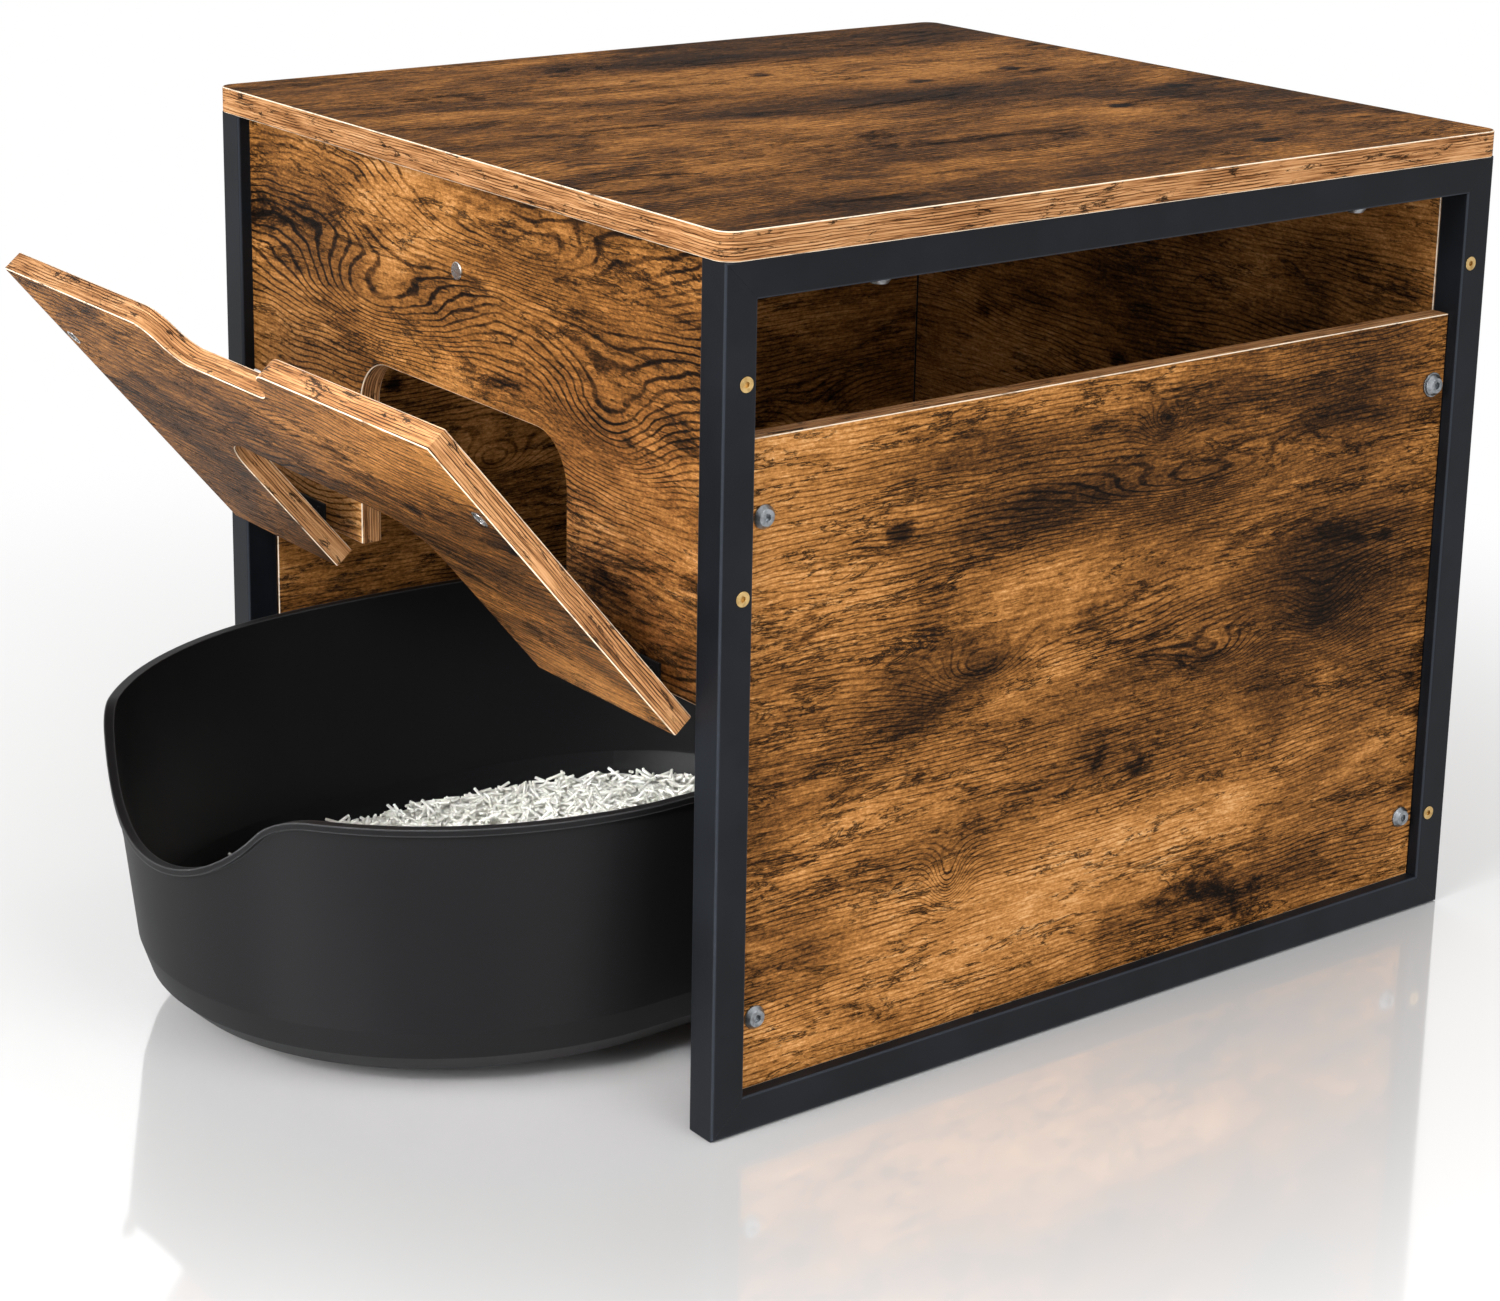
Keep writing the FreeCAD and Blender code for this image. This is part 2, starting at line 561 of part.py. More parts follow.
# ---- litter pan ---------------------------------------------------------------------------------
def pan_outline(inset, level, spread=1.0):
    """Closed smooth curve: a superellipse in front of the widest section and another behind it."""
    steps = 28
    points = []
    for i in range(steps):
        angle = 2 * math.pi * i / steps
        across, along = math.cos(angle), math.sin(angle)
        power = PAN_FRONT_POWER if along < 0 else PAN_REAR_POWER
        reach = (PAN_FRONT if along < 0 else PAN_REAR) - inset
        x = (PAN_HALF_WIDTH - inset) * math.copysign(abs(across) ** (2 / power), across)
        y = reach * math.copysign(abs(along) ** (2 / power), along)
        points.append(V(x * spread, PAN_MIDDLE_Y + y * spread, level))
    curve = Part.BSplineCurve()
    curve.interpolate(Points=points, PeriodicFlag=True)
    return Part.Wire(curve.toShape())


def foot_inset(level):
    """How far the wall stands inside the rim outline at a level: a quarter round, then a straight wall."""
    if level < PAN_FOOT_ROUND:
        drop = 1 - level / PAN_FOOT_ROUND
        share = PAN_ROUND_SHARE * math.sqrt(1 - drop * drop)
    else:
        rise = (level - PAN_FOOT_ROUND) / (PAN_HEIGHT - PAN_FOOT_ROUND)
        share = PAN_ROUND_SHARE + (1 - PAN_ROUND_SHARE) * rise
    return PAN_FOOT_INSET * (1 - share)


def pan_body(offset, floor, top):
    """Solid pan shape, its wall moved out by the offset, between two levels."""
    levels = [floor + (PAN_FOOT_ROUND - floor) * share for share in (0.0, 0.05, 0.16, 0.34, 0.62, 1.0)]
    levels += [(PAN_FOOT_ROUND + top) / 2, top]
    return Part.makeLoft([pan_outline(foot_inset(level - floor) - offset, level) for level in levels], True, True)


def scoop_line(y, drop):
    """Edges of the scoop's rim line: a wide arc through the bottom between two shoulder arcs."""
    rise = PAN_HEIGHT - SCOOP_LEVEL
    run = SCOOP_MOUTH / 2
    shoulder = (run * run + rise * rise) / (2 * rise) - SCOOP_RADIUS
    turn = math.asin(run / (SCOOP_RADIUS + shoulder))
    bottom = V(0, y, SCOOP_LEVEL - drop)
    rim_level = PAN_HEIGHT - drop

    def on_wide_arc(angle, side):
        return bottom + V(side * SCOOP_RADIUS * math.sin(angle), 0, SCOOP_RADIUS * (1 - math.cos(angle)))

    def on_shoulder(angle, side):
        return V(side * (run - shoulder * math.sin(angle)), y, rim_level - shoulder * (1 - math.cos(angle)))

    def shoulder_arc(side):
        return Part.Arc(on_shoulder(0, side), on_shoulder(turn / 2, side), on_shoulder(turn, side)).toShape()

    wide = Part.Arc(on_wide_arc(turn, -1), bottom, on_wide_arc(turn, 1)).toShape()
    return [shoulder_arc(-1), wide, shoulder_arc(1)]


def scoop_prism(drop):
    """Everything above the rim line at the pan's front, lowered by `drop`."""
    y = PAN_MIDDLE_Y - PAN_FRONT - 4 * PAN_RIM
    left = V(-SCOOP_MOUTH / 2, y, PAN_HEIGHT - drop)
    right = V(SCOOP_MOUTH / 2, y, PAN_HEIGHT - drop)
    above = V(0, 0, 2 * PAN_RIM_DEPTH)
    edges = scoop_line(y, drop) + lines([right, right + above, left + above, left])
    return Part.Face(Part.Wire(Part.__sortEdges__(edges))).extrude(V(0, SCOOP_REACH, 0))


def rim_band():
    """The rolled rim: a narrow outward band that follows the rim line round the pan and the scoop."""
    wide = 2 * (PAN_HALF_WIDTH + PAN_REAR)
    slab = box(-wide, -wide, SCOOP_LEVEL - 2 * PAN_RIM_DEPTH, wide, wide, PAN_HEIGHT)
    below = box(-wide, -wide, SCOOP_LEVEL - 3 * PAN_RIM_DEPTH, wide, wide, PAN_HEIGHT - PAN_RIM_DEPTH)
    line_above = slab.cut(scoop_prism(0.0))
    line_below = below.cut(scoop_prism(PAN_RIM_DEPTH))
    return pan_body(PAN_RIM, 0.0, PAN_HEIGHT).common(line_above.cut(line_below))


def litter_pan():
    outer = pan_body(0.0, 0.0, PAN_HEIGHT).cut(scoop_prism(0.0))
    hollow = pan_body(-PAN_WALL, PAN_WALL, PAN_HEIGHT)
    return outer.fuse(rim_band()).cut(hollow).removeSplitter()


def litter_fill():
    """Pellet bed on the pan's floor: level with LITTER_EDGE at the walls, a little higher in the middle."""
    floor = PAN_WALL + LITTER_CLEARANCE
    levels = [floor + (LITTER_EDGE - floor) * share for share in LITTER_SIDE_STEPS]
    sections = [pan_outline(foot_inset(level - floor) + floor, level) for level in levels]
    for spread in LITTER_CROWN_STEPS:
        level = LITTER_EDGE + (LITTER_CROWN - LITTER_EDGE) * (1 - spread ** 2)
        sections.append(pan_outline(foot_inset(LITTER_EDGE - floor) + floor, level, spread))
    return Part.makeLoft(sections, True, True)


# ---- assembly ---------------------------------------------------------------------------------
def flipped_up(shape):
    """Turn a piece of the hanging door about the hinge pins to its modelled pose."""
    turned_shape = shape.copy()
    turned_shape.rotate(HINGE_PIN, V(-1, 0, 0), DOOR_ANGLE)
    return turned_shape


def both_sides(shapes):
    return shapes + [mirrored(shape) for shape in shapes]


def build_frames(post_spaces, upper_bolts):
    for name, tube in right_frame(post_spaces, upper_bolts).items():
        save("right_" + name, tube)
        save("left_" + name, mirrored(tube))


def build_boards(post_spaces, upper_bolts, side_bolts, small_screws):
    save("top_board", top_board(both_sides(upper_bolts)))
    side = right_side_board(side_bolts)
    save("right_side_board", side)
    save("left_side_board", mirrored(side))
    end_spaces = both_sides(post_spaces)
    magnet_seat = aimed(pocket(HOLD_PROUD), hold_place(), V(0, -1, 0))
    leaf_spaces = at_hinges([above_pin(blank) for blank in in_leaf(hinge_screw_blank())])
    save("front_board", front_board(end_spaces + small_screws + leaf_spaces + [magnet_seat]))
    save("rear_board", rear_board(end_spaces + small_screws))


def build_hardware(side_bolts, upper_bolts, small_screws):
    save("right_panel_bolts", side_bolts)
    save("left_panel_bolts", [mirrored(bolt) for bolt in side_bolts])
    save("panel_bolt_washers", both_sides([bolt_washer()]))
    save("panel_bolt_nuts", both_sides([bolt_nut(y, z) for y, z in bolt_places()]))
    save("corner_brackets", both_sides(corner_brackets()))
    save("door_strike_brackets", both_sides([strike_bracket()]))
    save("bracket_screws", small_screws)
    screw = socketed(post_screw_blank(), POST_SCREW_SOCKET, POST_SCREW_CONE)
    save("post_screws", both_sides(through_posts(screw)))
    save("top_board_bolts", both_sides(upper_bolts))


def build_fixed_hinge_parts():
    blanks = in_leaf(hinge_screw_blank())
    screw = socketed(hinge_screw_blank(), HINGE_SCREW_SOCKET, HINGE_LEAF)
    save("fixed_hinge_leaves", at_hinges([above_pin(hinge_leaf(0, blanks))]))
    save("fixed_hinge_screws", at_hinges([above_pin(placed) for placed in in_leaf(screw)]))
    save("hinge_pins", at_hinges([hinge_pin()]))
    save("hold_open_magnet", aimed(disc_magnet(HOLD_PROUD), hold_place(), V(0, -1, 0)))


def build_cabinet():
    post_spaces = through_posts(post_screw_blank())
    upper_bolts = top_bolts()
    side_bolts = panel_bolts()
    small_screws = both_sides(bracket_screws())
    build_frames(post_spaces, upper_bolts)
    build_boards(post_spaces, upper_bolts, side_bolts, small_screws)
    build_hardware(side_bolts, upper_bolts, small_screws)
    build_fixed_hinge_parts()


def save_door_piece(name, shapes):
    save(name, [flipped_up(shape) for shape in shapes])


def build_door():
    blanks = in_leaf(hinge_screw_blank())
    screw = socketed(hinge_screw_blank(), HINGE_SCREW_SOCKET, HINGE_LEAF)
    seats = both_sides([aimed(pocket(MAGNET_PROUD), closing_place(), V(0, 1, 0))])
    seats.append(aimed(pocket(CATCH_PROUD), door_hold_place(), V(0, -1, 0)))
    save_door_piece("door_board", [door_board(at_hinges(blanks) + seats)])
    save_door_piece("door_hinge_leaves", at_hinges([hinge_leaf(1, blanks)]))
    save_door_piece("door_hinge_screws", at_hinges(in_leaf(screw)))
    save_door_piece("door_magnet_cups", both_sides([aimed(magnet_cup(MAGNET_PROUD), closing_place(), V(0, 1, 0))]))
    save_door_piece("door_magnets", both_sides([aimed(magnet_core(MAGNET_PROUD), closing_place(), V(0, 1, 0))]))
    save_door_piece("door_hold_catch", [aimed(disc_magnet(CATCH_PROUD), door_hold_place(), V(0, -1, 0))])


def build_pan():
    save("litter_pan", litter_pan())
    save("litter_fill", litter_fill())


os.makedirs("parts", exist_ok=True)
build_cabinet()
build_door()
build_pan()
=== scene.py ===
# %% [markdown]
# A cat litter box cabinet: rustic boards in black square-tube frames, a flap door flipped up at
# the front, and a black pan of pellet litter drawn out under it. The imported model gives every
# board, tube and screw its true shape, so this script adds the finishes, the loose pellets, the
# light and the camera.

# %% Load the model
import bpy
import math
import random
from collections import namedtuple
from mathutils import Matrix, Vector


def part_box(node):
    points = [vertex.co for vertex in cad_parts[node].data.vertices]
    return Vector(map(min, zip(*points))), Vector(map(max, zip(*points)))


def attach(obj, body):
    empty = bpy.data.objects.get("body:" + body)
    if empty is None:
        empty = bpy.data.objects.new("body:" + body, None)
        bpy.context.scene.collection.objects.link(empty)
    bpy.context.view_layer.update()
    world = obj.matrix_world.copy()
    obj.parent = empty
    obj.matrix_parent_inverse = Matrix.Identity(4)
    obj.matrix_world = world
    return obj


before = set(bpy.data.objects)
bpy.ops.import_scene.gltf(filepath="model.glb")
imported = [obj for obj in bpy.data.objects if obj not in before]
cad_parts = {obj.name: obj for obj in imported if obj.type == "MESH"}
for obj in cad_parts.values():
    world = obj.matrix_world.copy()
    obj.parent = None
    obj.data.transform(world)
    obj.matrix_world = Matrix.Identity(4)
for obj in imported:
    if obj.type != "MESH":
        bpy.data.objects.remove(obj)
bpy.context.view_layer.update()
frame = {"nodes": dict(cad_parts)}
nodes = frame["nodes"]
print("nodes", len(nodes))

# %% [markdown]
# The photograph was taken from the right of the door, a little above the top board. A long lens
# and a lowered frame (a shift) keep the posts nearly upright. The camera's place and its three
# angles were fitted to the corners of the frames. A camera could also be aimed with a Track To
# constraint, but that can't roll it, so its three directions are worked out here.

# %% Camera
CAMERA_PLACE = Vector((1.4521, -1.0717, 0.7798))
CAMERA_TURN = math.radians(52.757)      # towards -X from +Y
CAMERA_DROP = math.radians(15.025)      # below level
CAMERA_ROLL = math.radians(1.11)
SENSOR_MM = 36.0
LENS_MM = 77.8
LENS_SHIFT = (-0.0063, -0.1503)


def camera_matrix():
    """Where the camera stands and looks: it sees along its own -Z, with +Y up in the picture."""
    ahead = Vector((-math.sin(CAMERA_TURN) * math.cos(CAMERA_DROP),
                    math.cos(CAMERA_TURN) * math.cos(CAMERA_DROP),
                    -math.sin(CAMERA_DROP)))
    right = ahead.cross(Vector((0, 0, 1))).normalized()
    up = right.cross(ahead)
    turn = Matrix((right, up, -ahead)).transposed() @ Matrix.Rotation(CAMERA_ROLL, 3, "Z")
    return Matrix.Translation(CAMERA_PLACE) @ turn.to_4x4()


def show(piece):
    bpy.context.scene.collection.objects.link(piece)
    return piece


lens = bpy.data.cameras.new("camera")
lens.sensor_width = SENSOR_MM
lens.lens = LENS_MM
lens.shift_x, lens.shift_y = LENS_SHIFT
camera = show(bpy.data.objects.new("camera", lens))
camera.matrix_world = camera_matrix()
bpy.context.scene.camera = camera
bpy.context.scene.view_settings.view_transform = "Standard"
print("camera", round(CAMERA_PLACE.length, 2), "m from the middle of the footprint")

# %% [markdown]
# Shader maths reads best as plain sums. This small class wraps one output socket of a node and
# gives it the usual operators, so that `grain * 2 + 1` adds two Math nodes to the material.

# %% Sockets that can be added and multiplied
class Wire:
    def __init__(self, nodes, socket):
        self.nodes = nodes
        self.socket = socket

    def maths(self, operation, *values):
        return self.nodes.node("ShaderNodeMath", {"operation": operation},
                               dict(enumerate(values)))

    def __add__(self, other):
        return self.maths("ADD", self, other)

    def __mul__(self, other):
        return self.maths("MULTIPLY", self, other)

    def __sub__(self, other):
        return self.maths("SUBTRACT", self, other)

    def __rsub__(self, other):
        return self.maths("SUBTRACT", other, self)

    def __pow__(self, other):
        return self.maths("POWER", self, other)

    __radd__ = __add__
    __rmul__ = __mul__


# %% [markdown]
# Any node is added by one method, `node`: first its settings, because a setting such as a Math
# node's operation can change which sockets there are, and then the values or links of its
# sockets. It hands back the output as a Wire, so that nodes nest like calls.

# %% A tree of nodes
class Nodes:
    def __init__(self, tree):
        self.tree = tree

    def node(self, kind, settings, sockets, output=0):
        made = self.tree.nodes.new(kind)
        for setting, value in settings.items():
            if setting == "stops":
                self.fill_ramp(made.color_ramp, value)
            else:
                setattr(made, setting, value)
        for socket, value in sockets.items():
            self.feed(made.inputs[socket], value)
        return Wire(self, made.outputs[output])

    def feed(self, socket, value):
        if isinstance(value, Wire):
            self.tree.links.new(value.socket, socket)
        else:
            socket.default_value = value

    def fill_ramp(self, ramp, stops):
        while len(ramp.elements) < len(stops):
            ramp.elements.new(1.0)
        for element, (position, colour) in zip(ramp.elements, stops):
            element.position = position
            element.color = (*colour, 1.0)

    def there(self, name):
        """The first output of a node that Blender has already put in the tree."""
        return Wire(self, self.tree.nodes[name].outputs[0])


# %% [markdown]
# A finish is one material. What is the same all over a surface, such as how metallic it is, is
# set on the shader when the finish is made, and what varies is painted on at the end. `place` is
# the point in metres and `facing` the direction of the surface there, both fixed to the piece, so
# a pattern stays where it is when the door or the pan moves.

# %% One material
class Finish(Nodes):
    def __init__(self, name, **shader_values):
        self.material = bpy.data.materials.new(name)
        self.material.use_nodes = True
        super().__init__(self.material.node_tree)
        self.shader = self.tree.nodes["Principled BSDF"]
        for socket, value in shader_values.items():
            self.shader.inputs[socket.replace("_", " ")].default_value = value
        self.place = self.node("ShaderNodeTexCoord", {}, {}, "Object")
        self.facing = self.node("ShaderNodeTexCoord", {}, {}, "Normal")

    def paint(self, **wires):
        for socket, wire in wires.items():
            self.feed(self.shader.inputs[socket.replace("_", " ")], wire)
        return self.material

    def noise(self, vector, scale=1.0, detail=4.0, roughness=0.5, distortion=0.0):
        return self.node("ShaderNodeTexNoise", {}, {
            "Vector": vector, "Scale": scale, "Detail": detail,
            "Roughness": roughness, "Distortion": distortion})

    def cells(self, vector, scale=1.0):
        """Distance to the nearest of many scattered points."""
        return self.node("ShaderNodeTexVoronoi", {}, {"Vector": vector, "Scale": scale},
                         "Distance")

    def step(self, value, low, high):
        """0 below `low`, 1 above `high`, and a soft rise between them."""
        return self.node("ShaderNodeMapRange", {"interpolation_type": "SMOOTHSTEP"},
                         {"Value": value, "From Min": low, "From Max": high})

    def ramp(self, value, stops):
        return self.node("ShaderNodeValToRGB", {"stops": stops}, {"Fac": value})

    def mix(self, share, first, second):
        colours = [c if isinstance(c, Wire) else (*c, 1.0) for c in (first, second)]
        return self.node("ShaderNodeMix", {"data_type": "RGBA"},
                         {0: share, 6: colours[0], 7: colours[1]}, 2)

    def bump(self, height, distance, rounding=0.0):
        """Relief; with a rounding, sharp edges also catch light as if eased by that radius."""
        sockets = {"Strength": 1.0, "Distance": distance, "Height": height}
        if rounding:
            sockets["Normal"] = self.node("ShaderNodeBevel", {"samples": 4}, {"Radius": rounding})
        return self.node("ShaderNodeBump", {}, sockets)


# %% [markdown]
# A few measures come back in several finishes: how far a point lies along an axis, how long a
# vector is, a sine and a size without its sign. They are short names for Math and Vector Math.

# %% Measures for finishes
def along(finish, vector, axis):
    return finish.node("ShaderNodeVectorMath", {"operation": "DOT_PRODUCT"},
                       {0: vector, 1: axis}, 1)


def length_of(finish, vector):
    return finish.node("ShaderNodeVectorMath", {"operation": "LENGTH"}, {0: vector}, 1)


def combine(finish, x, y, z):
    return finish.node("ShaderNodeCombineXYZ", {}, {0: x, 1: y, 2: z})


def waves(finish, turns):
    """A sine that rises and falls once while `turns` goes up by one."""
    return finish.node("ShaderNodeMath", {"operation": "SINE"}, {0: turns * (2 * math.pi)})


def unsigned(finish, value):
    return finish.node("ShaderNodeMath", {"operation": "ABSOLUTE"}, {0: value})


# %% [markdown]
# The boards are chipboard with a printed foil that looks like old, stained timber: golden brown
# with dark clouds, growth lines that bend round knots, black specks and short cracks. The edges
# have a lighter foil. An image would be the quick way, but a pattern made from noise has no
# seams, and every board can have its own.

# %% Colours of the boards
FACE_STOPS = [(0.0, (0.005, 0.003, 0.002)), (0.2, (0.03, 0.013, 0.005)),
              (0.4, (0.115, 0.046, 0.012)), (0.6, (0.29, 0.118, 0.028)),
              (0.8, (0.53, 0.237, 0.068)), (1.0, (0.74, 0.41, 0.17))]
EDGE_STOPS = [(0.0, (0.05, 0.02, 0.008)), (0.3, (0.24, 0.10, 0.036)),
              (0.6, (0.52, 0.255, 0.105)), (1.0, (0.72, 0.43, 0.22))]
ARRIS_WEAR_AND_HIGHLIGHT_COLOUR = (0.92, 0.76, 0.58)       # the corner between face and edge: partly rubbed foil, partly a painted highlight
SMUDGE_COLOUR = (0.012, 0.008, 0.006)

# %% [markdown]
# A board has its own three directions: along the grain, across it, and through the board. Noise
# that is squeezed across the grain turns into streaks. The third number of the noise's place is
# the layer. It differs between the two faces, and from board to board by the seed, so no two
# patterns are alike.

# %% Foil of one board
LAYERS_PER_METRE = 3
Patch = namedtuple("Patch", "along across length width dark")


class Foil(Finish):
    def __init__(self, name, grain, across, thick, seed, gloss):
        super().__init__(name, Specular_IOR_Level=gloss)
        self.u = along(self, self.place, grain)
        self.v = along(self, self.place, across)
        self.w = along(self, self.place, thick)
        self.square_on = unsigned(self, along(self, self.facing, thick))
        self.seed = seed
        self.layer = self.w * LAYERS_PER_METRE + seed

    def stretched(self, lengthwise, crosswise, layer):
        """The place on the face, counted in features: so many in a metre each way."""
        return combine(self, self.u * lengthwise, self.v * crosswise, layer)

    def on_edge(self, lengthwise, through, start):
        """The place on a cut edge, alike on the ends and on the sides of the board."""
        return combine(self, self.u * lengthwise, self.v * lengthwise, self.w * through + start)

    def hill(self, patch):
        """1 in the middle of a patch, falling softly to 0 round it."""
        from_middle = length_of(self, combine(
            self, (self.u - patch.along) * (1 / patch.length),
            (self.v - patch.across) * (1 / patch.width), 0.0))
        return self.node("ShaderNodeMath", {"operation": "POWER"},
                         {0: math.e, 1: from_middle * from_middle * -1})


# %% [markdown]
# Growth lines are the level lines of a height field, as on a map. The field rises steadily across
# the grain, so its lines are straight. Noise bends them, and a knot is a hill added to the field,
# so the lines close round it. In places the lines fade, as they do in worn wood.

# %% Growth lines
SWIRL_LINES = 14                        # lines that the noise pushes aside at a swirl of 1
KNOT_LINES = 7                          # lines that close round a knot
KNOT_HEART = 7                          # how much smaller than the hill its dark heart is


def growth_lines(foil, spacing, swirl, knots):
    """Dark lines, and the dark hearts of the knots, each from 0 to 1."""
    bend = foil.noise(foil.stretched(4, 9, foil.layer + 7), detail=3.0)
    ripple = foil.noise(foil.stretched(34, 60, foil.layer + 3), roughness=0.65)
    field = foil.v * (1 / spacing) + bend * (swirl * SWIRL_LINES) + ripple * 0.9
    hearts = 0.0
    for knot in knots:
        hill = foil.hill(knot)
        field = field + hill * KNOT_LINES
        hearts = hill ** KNOT_HEART * knot.dark + hearts
    patches = foil.noise(foil.stretched(8, 26, foil.layer + 11), roughness=0.6)
    clear = foil.step(patches, 0.36, 0.6)
    lines = foil.step(waves(foil, field), 0.3, 1.0) * (clear * 0.75 + 0.25)
    return lines, hearts


# %% [markdown]
# The fine grain has three sizes: streaks a few millimetres wide, fibres under a millimetre, and a
# mottle of grains that breaks up whatever is too smooth.

# %% Fine grain
Grain = namedtuple("Grain", "streak fibre mottle")


def fine_grain(foil):
    depth = foil.layer * 4
    return Grain(foil.noise(foil.stretched(46, 420, depth), detail=6.0, roughness=0.75),
                 foil.noise(foil.stretched(130, 1300, depth), detail=3.0, roughness=0.6),
                 foil.noise(foil.stretched(330, 560, depth + 5), roughness=0.75))


# %% [markdown]
# Broad clouds make some parts of a board dark and others light. Noise gives most of them, and the
# large dark patches that the photograph shows are hills put where they are seen.

# %% Clouds
def clouded_shade(foil, clouds):
    """How much lighter or darker than its tone the board is at each place."""
    cloud = foil.noise(foil.stretched(3.4, 9, foil.layer), detail=9.0, roughness=0.7,
                       distortion=0.4)
    shade = (foil.step(cloud, 0.34, 0.66) - 0.5) * 0.46
    for patch in clouds:
        shade = shade - foil.hill(patch) * (cloud + 0.2) * patch.dark
    return shade


# %% [markdown]
# The foil is printed with three kinds of stain: ragged smudges, round black spots like small
# knots, and short cracks along the grain. A crack is a thin band where a noise passes its middle
# value, kept only near the smudges.

# %% Stains
Stains = namedtuple("Stains", "smudge spot crack")


def foil_stains(foil):
    stain = foil.noise(foil.stretched(9, 26, foil.layer + 19), detail=12.0, roughness=0.8,
                       distortion=0.5)
    jitter = foil.noise(foil.stretched(130, 190, foil.layer + 31), roughness=0.7)
    spot_distance = foil.cells(foil.stretched(10, 15, foil.layer + 37)) + (jitter - 0.5) * 0.16
    course = foil.noise(foil.stretched(11, 70, foil.layer + 23), detail=10.0, roughness=0.72,
                        distortion=0.5)
    off_course = unsigned(foil, course - 0.5)
    return Stains(foil.step(stain, 0.54, 0.66),
                  1 - foil.step(spot_distance, 0.05, 0.13),
                  (1 - foil.step(off_course, 0.005, 0.016)) * foil.step(stain, 0.47, 0.52))


# %% [markdown]
# The cut edges carry straight fine lines and black flakes. Their pattern depends on the depth
# through the board, so the lines run along every edge.

# %% Edge strip
RULE_SPACING = 0.0016                   # metres between two lines of the edge foil


def edge_strip(foil):
    """The colour of the edges and their relief."""
    seed = foil.seed
    strip = foil.noise(foil.on_edge(16, 760, seed), detail=5.0, roughness=0.7)
    wander = foil.noise(foil.on_edge(22, 90, seed + 3), detail=3.0, roughness=0.6)
    blotch = foil.noise(foil.on_edge(14, 45, seed), detail=6.0, roughness=0.7)
    flake = foil.noise(foil.on_edge(38, 210, seed), detail=8.0, roughness=0.78, distortion=0.6)
    rules = foil.node("ShaderNodeMath", {"operation": "SINE"}, {
        0: foil.w * (2 * math.pi / RULE_SPACING) + wander * 16})
    rules = foil.step(rules, 0.35, 0.95) * foil.step(wander, 0.34, 0.5)
    tone = (strip - 0.5) * 2.3 + 0.52 + (blotch - 0.5) * 0.7 - rules * 0.42
    colour = foil.mix(foil.step(flake, 0.56, 0.60) * 0.9, foil.ramp(tone, EDGE_STOPS),
                      SMUDGE_COLOUR)
    return colour, strip * 0.6 - rules * 0.7


# %% [markdown]
# All layers of the face are summed as one tone from dark to light, and one ramp turns the tone
# into colour. A surface that points along the board's thickness is face, one that points to the
# side is edge, and the eased corner between them is painted bright: partly rubbed foil, partly a
# painted highlight.

# %% Board finish
FOIL_RELIEF = 0.00022                   # metres


def board_finish(name, grain, across, thick, seed, tone, spacing, swirl,
                 knots=(), clouds=(), gloss=0.04, line_weight=0.26):
    foil = Foil(name, grain, across, thick, seed, gloss)
    lines, hearts = growth_lines(foil, spacing, swirl, knots)
    streak, fibre, mottle = fine_grain(foil)
    smudge, spot, crack = foil_stains(foil)
    level = clouded_shade(foil, clouds) + tone - lines * line_weight
    level = level + (streak - 0.5) * 0.95 + (fibre - 0.5) * 0.35 + (mottle - 0.5) * 0.8
    rings = hearts * (lines * 0.9 + 0.35)
    level = level - (smudge * 0.42 + spot * 0.5 + rings * 0.6) * (mottle + 0.45)
    face = foil.mix(crack * 0.9, foil.ramp(level, FACE_STOPS), SMUDGE_COLOUR)

    edge, edge_relief = edge_strip(foil)
    edge_share = 1 - foil.step(foil.square_on, 0.3, 0.5)
    # the eased corner is painted bright in patches: partly rubbed foil, partly a painted highlight
    wear_and_highlight_patches = foil.noise(foil.on_edge(45, 45, 0.0), roughness=0.6)
    arris_wear_and_highlight_share = (1 - foil.step(foil.square_on, 0.8, 0.95)) * foil.step(wear_and_highlight_patches, 0.25, 0.45)
    face_relief = fibre * 0.5 - lines * 0.6 - crack * 1.5 - smudge * 0.3
    relief = face_relief * (1 - edge_share) + edge_relief * edge_share
    return foil.paint(
        Base_Color=foil.mix(edge_share, foil.mix(arris_wear_and_highlight_share, face, ARRIS_WEAR_AND_HIGHLIGHT_COLOUR), edge),
        Roughness=0.42 + fibre * 0.16 + smudge * 0.12,
        Normal=foil.bump(relief, FOIL_RELIEF))


# %% [markdown]
# Grain runs front to back on the top and side boards, and from side to side on the front board,
# the rear board and the door. The door is modelled flipped up, so its own directions are turned
# by the angle from hanging.

# %% Directions of the boards
RIGHT = Vector((1, 0, 0))
BACK = Vector((0, 1, 0))
UP = Vector((0, 0, 1))
DOOR_OPEN = math.radians(140)           # modelled pose, from hanging
DOOR_DOWN = Vector((0, -math.sin(DOOR_OPEN), -math.cos(DOOR_OPEN)))
DOOR_OUT = Vector((0, -math.cos(DOOR_OPEN), math.sin(DOOR_OPEN)))

# %% [markdown]
# The knots and clouds of the right side board lie where they are seen. Those of the other boards
# follow the same manner. A patch gives its middle along and across the grain, its length and
# width in metres, and how dark it is.

